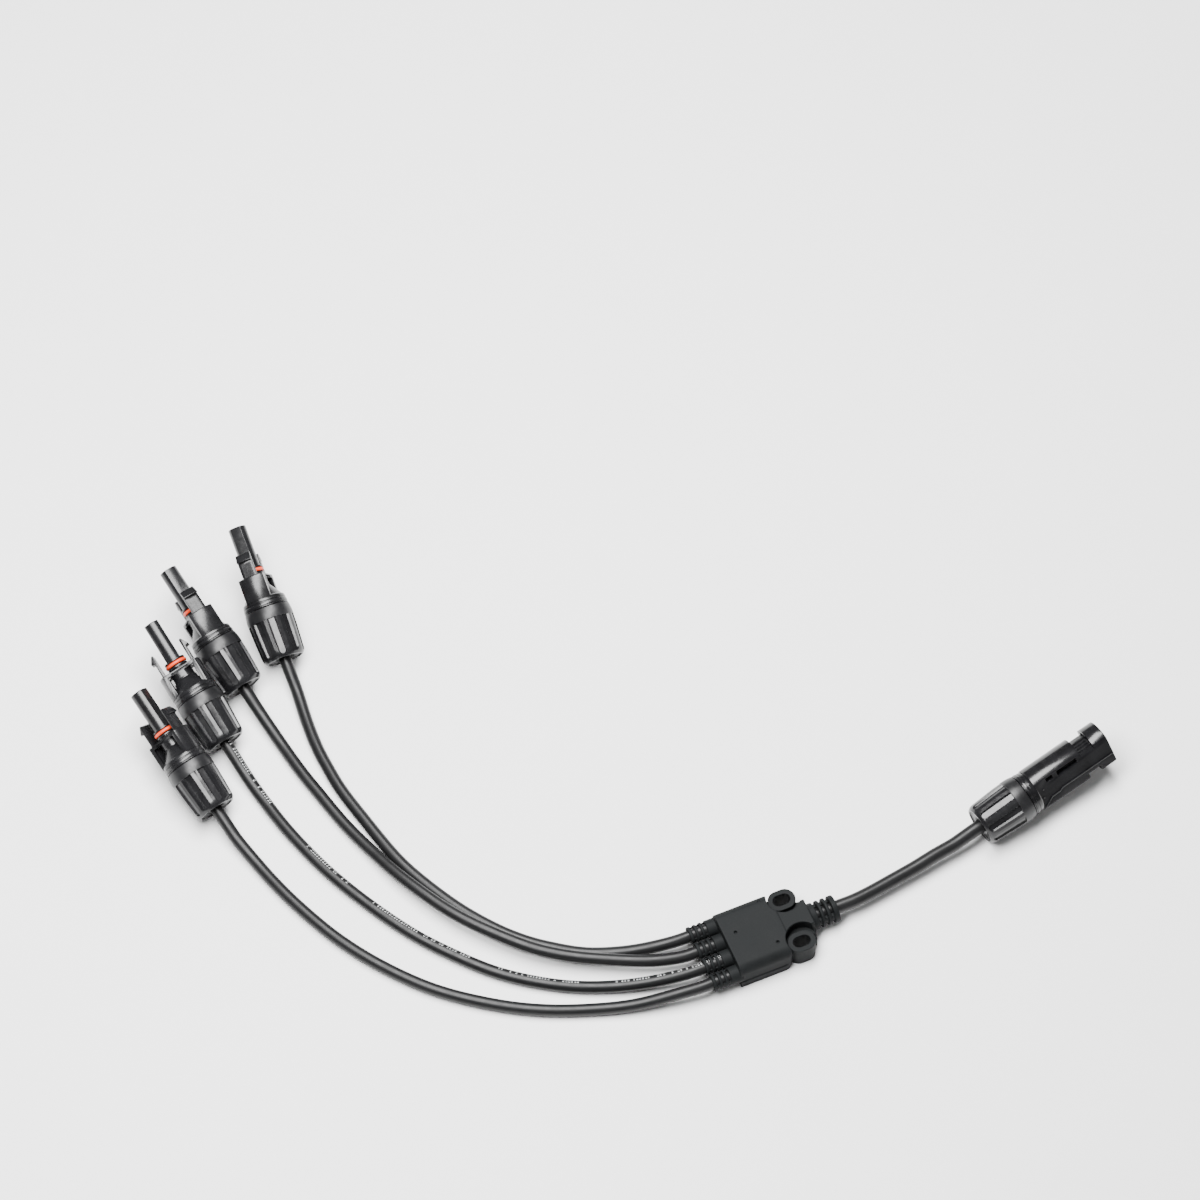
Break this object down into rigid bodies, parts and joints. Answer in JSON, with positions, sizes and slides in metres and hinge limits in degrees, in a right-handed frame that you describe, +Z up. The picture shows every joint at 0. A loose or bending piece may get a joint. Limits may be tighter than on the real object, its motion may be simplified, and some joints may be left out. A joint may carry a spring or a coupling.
{
  "type": "solar cable branch harness",
  "caption": "Branch harness for solar module cables: plugs with latch arms joined by cables and a moulded junction to a receptacle.",
  "frame": {"origin": "centre of the junction's flat base, on the surface that the harness lies on", "axes": "+X along the junction from the branch cables to the trunk cable, +Z up from the base"},
  "size_m": [0.3713, 0.2722, 0.0318],
  "materials": {
    "connector_black": "moulded black polyamide, satin to glossy",
    "junction_grey": "matte dark grey overmould",
    "cable_black": "semi-gloss black cross-linked jacket",
    "seal_orange": "orange-red silicone ring",
    "seal_rubber": "matte black elastomer",
    "tinned_copper": "tin-plated contact",
    "bare_copper": "bare copper"
  },
  "bodies": {
    "root": {"junction_body": "junction_grey", "junction_busbar": "bare_copper", "junction_conductor_trunk": "bare_copper", "trunk_cable": "cable_black", "junction_conductor_1": "bare_copper", "junction_conductor_2": "bare_copper", "junction_conductor_3": "bare_copper", "junction_conductor_4": "bare_copper", "branch_cable_1": "cable_black", "branch_cable_2": "cable_black", "branch_cable_3": "cable_black", "branch_cable_4": "cable_black", "plug_1_housing": "connector_black", "plug_1_o_ring": "seal_orange", "plug_1_socket_contact": "tinned_copper", "plug_1_cable_seal": "seal_rubber", "plug_1_conductor": "bare_copper", "plug_2_housing": "connector_black", "plug_2_o_ring": "seal_orange", "plug_2_socket_contact": "tinned_copper", "plug_2_cable_seal": "seal_rubber", "plug_2_conductor": "bare_copper", "plug_3_housing": "connector_black", "plug_3_o_ring": "seal_orange", "plug_3_socket_contact": "tinned_copper", "plug_3_cable_seal": "seal_rubber", "plug_3_conductor": "bare_copper", "plug_4_housing": "connector_black", "plug_4_o_ring": "seal_orange", "plug_4_socket_contact": "tinned_copper", "plug_4_cable_seal": "seal_rubber", "plug_4_conductor": "bare_copper", "receptacle_housing": "connector_black", "receptacle_pin_contact": "tinned_copper", "receptacle_cable_seal": "seal_rubber", "receptacle_conductor": "bare_copper"},
    "plug_1_cage": {"plug_1_clamp_cage": "connector_black"},
    "plug_1_nut": {"plug_1_gland_nut": "connector_black"},
    "plug_1_latch_a": {"plug_1_latch_arm_a": "connector_black"},
    "plug_1_latch_b": {"plug_1_latch_arm_b": "connector_black"},
    "plug_2_cage": {"plug_2_clamp_cage": "connector_black"},
    "plug_2_nut": {"plug_2_gland_nut": "connector_black"},
    "plug_2_latch_a": {"plug_2_latch_arm_a": "connector_black"},
    "plug_2_latch_b": {"plug_2_latch_arm_b": "connector_black"},
    "plug_3_cage": {"plug_3_clamp_cage": "connector_black"},
    "plug_3_nut": {"plug_3_gland_nut": "connector_black"},
    "plug_3_latch_a": {"plug_3_latch_arm_a": "connector_black"},
    "plug_3_latch_b": {"plug_3_latch_arm_b": "connector_black"},
    "plug_4_cage": {"plug_4_clamp_cage": "connector_black"},
    "plug_4_nut": {"plug_4_gland_nut": "connector_black"},
    "plug_4_latch_a": {"plug_4_latch_arm_a": "connector_black"},
    "plug_4_latch_b": {"plug_4_latch_arm_b": "connector_black"},
    "receptacle_cage": {"receptacle_clamp_cage": "connector_black"},
    "receptacle_nut": {"receptacle_gland_nut": "connector_black"}
  },
  "joints": [
    {"name": "plug_1_cage_slide", "type": "slide", "parent": "root", "child": "plug_1_cage", "axis": [0.1988, -0.9434, -0.2656], "range_m": [0, 0.007]},
    {"name": "plug_1_nut_turn", "type": "hinge", "parent": "plug_1_cage", "child": "plug_1_nut", "pos_m": [-0.19059, 0.15388, 0.01172], "axis": [0.1988, -0.9434, -0.2656], "range_deg": [0, 1440]},
    {"name": "plug_1_latch_a_bend", "type": "hinge", "parent": "root", "child": "plug_1_latch_a", "pos_m": [-0.18934, 0.17066, 0.02157], "axis": [-0.6905, -0.3271, 0.6451], "range_deg": [0, 5], "stiffness_Nm_per_rad": 0.8},
    {"name": "plug_1_latch_b_bend", "type": "hinge", "parent": "root", "child": "plug_1_latch_b", "pos_m": [-0.19907, 0.17143, 0.01154], "axis": [0.6905, 0.3271, -0.6451], "range_deg": [0, 5], "stiffness_Nm_per_rad": 0.8},
    {"name": "plug_2_cage_slide", "type": "slide", "parent": "root", "child": "plug_2_cage", "axis": [0.1704, -0.947, -0.2723], "range_m": [0, 0.007]},
    {"name": "plug_2_nut_turn", "type": "hinge", "parent": "plug_2_cage", "child": "plug_2_nut", "pos_m": [-0.17487, 0.18172, 0.01179], "axis": [0.1704, -0.947, -0.2723], "range_deg": [0, 1440]},
    {"name": "plug_2_latch_a_bend", "type": "hinge", "parent": "root", "child": "plug_2_latch_a", "pos_m": [-0.17125, 0.19964, 0.01857], "axis": [-0.2199, -0.3059, 0.9263], "range_deg": [0, 5], "stiffness_Nm_per_rad": 0.8},
    {"name": "plug_2_latch_b_bend", "type": "hinge", "parent": "root", "child": "plug_2_latch_b", "pos_m": [-0.1847, 0.19827, 0.01493], "axis": [0.2199, 0.3059, -0.9263], "range_deg": [0, 5], "stiffness_Nm_per_rad": 0.8},
    {"name": "plug_3_cage_slide", "type": "slide", "parent": "root", "child": "plug_3_cage", "axis": [0.1838, -0.9455, -0.2689], "range_m": [0, 0.007]},
    {"name": "plug_3_nut_turn", "type": "hinge", "parent": "plug_3_cage", "child": "plug_3_nut", "pos_m": [-0.15802, 0.2031, 0.01176], "axis": [0.1838, -0.9455, -0.2689], "range_deg": [0, 1440]},
    {"name": "plug_3_latch_a_bend", "type": "hinge", "parent": "root", "child": "plug_3_latch_a", "pos_m": [-0.16073, 0.21851, 0.02339], "axis": [-0.9788, -0.2012, 0.0387], "range_deg": [0, 5], "stiffness_Nm_per_rad": 0.8},
    {"name": "plug_3_latch_b_bend", "type": "hinge", "parent": "root", "child": "plug_3_latch_b", "pos_m": [-0.162, 0.2221, 0.00992], "axis": [0.9788, 0.2012, -0.0387], "range_deg": [0, 5], "stiffness_Nm_per_rad": 0.8},
    {"name": "plug_4_cage_slide", "type": "slide", "parent": "root", "child": "plug_4_cage", "axis": [-0.0298, -0.9479, -0.3173], "range_m": [0, 0.007]},
    {"name": "plug_4_nut_turn", "type": "hinge", "parent": "plug_4_cage", "child": "plug_4_nut", "pos_m": [-0.13447, 0.20893, 0.01209], "axis": [-0.0298, -0.9479, -0.3173], "range_deg": [0, 1440]},
    {"name": "plug_4_latch_a_bend", "type": "hinge", "parent": "root", "child": "plug_4_latch_a", "pos_m": [-0.13662, 0.2242, 0.02402], "axis": [-0.923, 0.1479, -0.3552], "range_deg": [0, 5], "stiffness_Nm_per_rad": 0.8},
    {"name": "plug_4_latch_b_bend", "type": "hinge", "parent": "root", "child": "plug_4_latch_b", "pos_m": [-0.13125, 0.22815, 0.01171], "axis": [0.923, -0.1479, 0.3552], "range_deg": [0, 5], "stiffness_Nm_per_rad": 0.8},
    {"name": "receptacle_cage_slide", "type": "slide", "parent": "root", "child": "receptacle_cage", "axis": [-0.9725, -0.1996, -0.1201], "range_m": [0, 0.007]},
    {"name": "receptacle_nut_turn", "type": "hinge", "parent": "receptacle_cage", "child": "receptacle_nut", "pos_m": [0.1117, 0.0122, 0.01062], "axis": [-0.9725, -0.1996, -0.1201], "range_deg": [0, 1440]}
  ],
  "couplings": [
    {"joint": "plug_1_cage_slide", "follows": "plug_1_nut_turn", "m_per_rad": 0.00027852},
    {"joint": "plug_2_cage_slide", "follows": "plug_2_nut_turn", "m_per_rad": 0.00027852},
    {"joint": "plug_3_cage_slide", "follows": "plug_3_nut_turn", "m_per_rad": 0.00027852},
    {"joint": "plug_4_cage_slide", "follows": "plug_4_nut_turn", "m_per_rad": 0.00027852},
    {"joint": "receptacle_cage_slide", "follows": "receptacle_nut_turn", "m_per_rad": 0.00027852}
  ]
}
